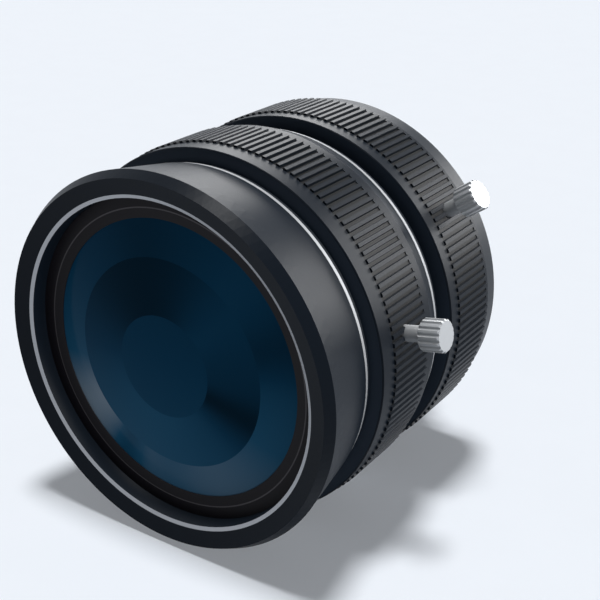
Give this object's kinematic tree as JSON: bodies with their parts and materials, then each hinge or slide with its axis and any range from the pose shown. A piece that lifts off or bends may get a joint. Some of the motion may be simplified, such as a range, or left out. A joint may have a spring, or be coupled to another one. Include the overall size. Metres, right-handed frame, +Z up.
{
  "type": "swir lens",
  "caption": "Fixed focal length lens for a short wave infrared camera, with ribbed focus and aperture rings, a locking thumbscrew on each, a bladed iris and a screw mount.",
  "frame": {"origin": "centre of the mount flange face, on the optical axis", "axes": "the lens looks along -Y, the camera thread points along +Y, +Z is up"},
  "size_m": [0.0578, 0.0542, 0.0526],
  "materials": {
    "black_anodised": "black anodised, satin",
    "matt_black_anodised": "black anodised, matt",
    "coated_front_glass": "polished, with a dark blue coating",
    "coated_glass": "polished, coated",
    "bright_aluminium": "turned, bare",
    "steel": "turned",
    "blackened_steel": "blackened spring steel"
  },
  "bodies": {
    "barrel": {"main_barrel": "black_anodised", "mount_barrel": "black_anodised", "mount_screws": "steel", "focus_retaining_ring": "matt_black_anodised", "focus_stop_pin": "steel", "guide_pins": "steel", "middle_retaining_ring": "matt_black_anodised", "third_element": "coated_glass", "middle_spacer": "matt_black_anodised", "doublet_front_element": "coated_glass", "doublet_rear_element": "coated_glass", "iris_base_plate": "matt_black_anodised", "iris_retaining_ring": "matt_black_anodised", "inner_element": "coated_glass", "rear_spacer": "matt_black_anodised", "rear_element": "coated_glass", "rear_retaining_ring": "matt_black_anodised"},
    "focus_ring": {"focus_ring": "black_anodised"},
    "focus_lock_screw": {"focus_lock_screw": "bright_aluminium"},
    "front_group": {"front_barrel": "black_anodised", "front_retaining_ring": "black_anodised", "front_element": "coated_front_glass", "front_spacer": "matt_black_anodised", "second_element": "coated_glass"},
    "aperture_ring": {"aperture_ring": "black_anodised", "aperture_drive_screw": "steel", "iris_cam_ring": "matt_black_anodised"},
    "aperture_lock_screw": {"aperture_lock_screw": "bright_aluminium"},
    "blade_1": {"iris_blade_1": "blackened_steel"},
    "blade_2": {"iris_blade_2": "blackened_steel"},
    "blade_3": {"iris_blade_3": "blackened_steel"},
    "blade_4": {"iris_blade_4": "blackened_steel"},
    "blade_5": {"iris_blade_5": "blackened_steel"},
    "blade_6": {"iris_blade_6": "blackened_steel"},
    "blade_7": {"iris_blade_7": "blackened_steel"},
    "blade_8": {"iris_blade_8": "blackened_steel"}
  },
  "joints": [
    {"name": "focus_turn", "type": "hinge", "parent": "barrel", "child": "focus_ring", "pos_m": [0, -0.031, 0], "axis": [0, -1, 0], "range_deg": [0, 270]},
    {"name": "focus_travel", "type": "slide", "parent": "barrel", "child": "front_group", "axis": [0, -1, 0], "range_m": [0, 0.003]},
    {"name": "focus_lock_turn", "type": "hinge", "parent": "focus_ring", "child": "focus_lock_screw", "pos_m": [0.02949, -0.0317, 0.00552], "axis": [0.9829, 0, 0.184], "range_deg": [0, 270]},
    {"name": "aperture_turn", "type": "hinge", "parent": "barrel", "child": "aperture_ring", "pos_m": [0, -0.01324, 0], "axis": [0, -1, 0], "range_deg": [0, 50]},
    {"name": "aperture_lock_turn", "type": "hinge", "parent": "aperture_ring", "child": "aperture_lock_screw", "pos_m": [0.02463, -0.01324, 0.01712], "axis": [0.8211, 0, 0.5707], "range_deg": [0, 270]},
    {"name": "blade_1_turn", "type": "hinge", "parent": "barrel", "child": "blade_1", "pos_m": [0.0188, -0.0158, 0], "axis": [0, -1, 0], "range_deg": [0, 25]},
    {"name": "blade_2_turn", "type": "hinge", "parent": "barrel", "child": "blade_2", "pos_m": [0.01329, -0.0158, 0.01329], "axis": [0, -1, 0], "range_deg": [0, 25]},
    {"name": "blade_3_turn", "type": "hinge", "parent": "barrel", "child": "blade_3", "pos_m": [0, -0.0158, 0.0188], "axis": [0, -1, 0], "range_deg": [0, 25]},
    {"name": "blade_4_turn", "type": "hinge", "parent": "barrel", "child": "blade_4", "pos_m": [-0.01329, -0.0158, 0.01329], "axis": [0, -1, 0], "range_deg": [0, 25]},
    {"name": "blade_5_turn", "type": "hinge", "parent": "barrel", "child": "blade_5", "pos_m": [-0.0188, -0.0158, 0], "axis": [0, -1, 0], "range_deg": [0, 25]},
    {"name": "blade_6_turn", "type": "hinge", "parent": "barrel", "child": "blade_6", "pos_m": [-0.01329, -0.0158, -0.01329], "axis": [0, -1, 0], "range_deg": [0, 25]},
    {"name": "blade_7_turn", "type": "hinge", "parent": "barrel", "child": "blade_7", "pos_m": [0, -0.0158, -0.0188], "axis": [0, -1, 0], "range_deg": [0, 25]},
    {"name": "blade_8_turn", "type": "hinge", "parent": "barrel", "child": "blade_8", "pos_m": [0.01329, -0.0158, -0.01329], "axis": [0, -1, 0], "range_deg": [0, 25]}
  ],
  "couplings": [
    {"joint": "focus_travel", "follows": "focus_turn", "m_per_rad": 0.00063662},
    {"joint": "blade_1_turn", "follows": "aperture_turn", "ratio": 0.5},
    {"joint": "blade_2_turn", "follows": "aperture_turn", "ratio": 0.5},
    {"joint": "blade_3_turn", "follows": "aperture_turn", "ratio": 0.5},
    {"joint": "blade_4_turn", "follows": "aperture_turn", "ratio": 0.5},
    {"joint": "blade_5_turn", "follows": "aperture_turn", "ratio": 0.5},
    {"joint": "blade_6_turn", "follows": "aperture_turn", "ratio": 0.5},
    {"joint": "blade_7_turn", "follows": "aperture_turn", "ratio": 0.5},
    {"joint": "blade_8_turn", "follows": "aperture_turn", "ratio": 0.5}
  ]
}
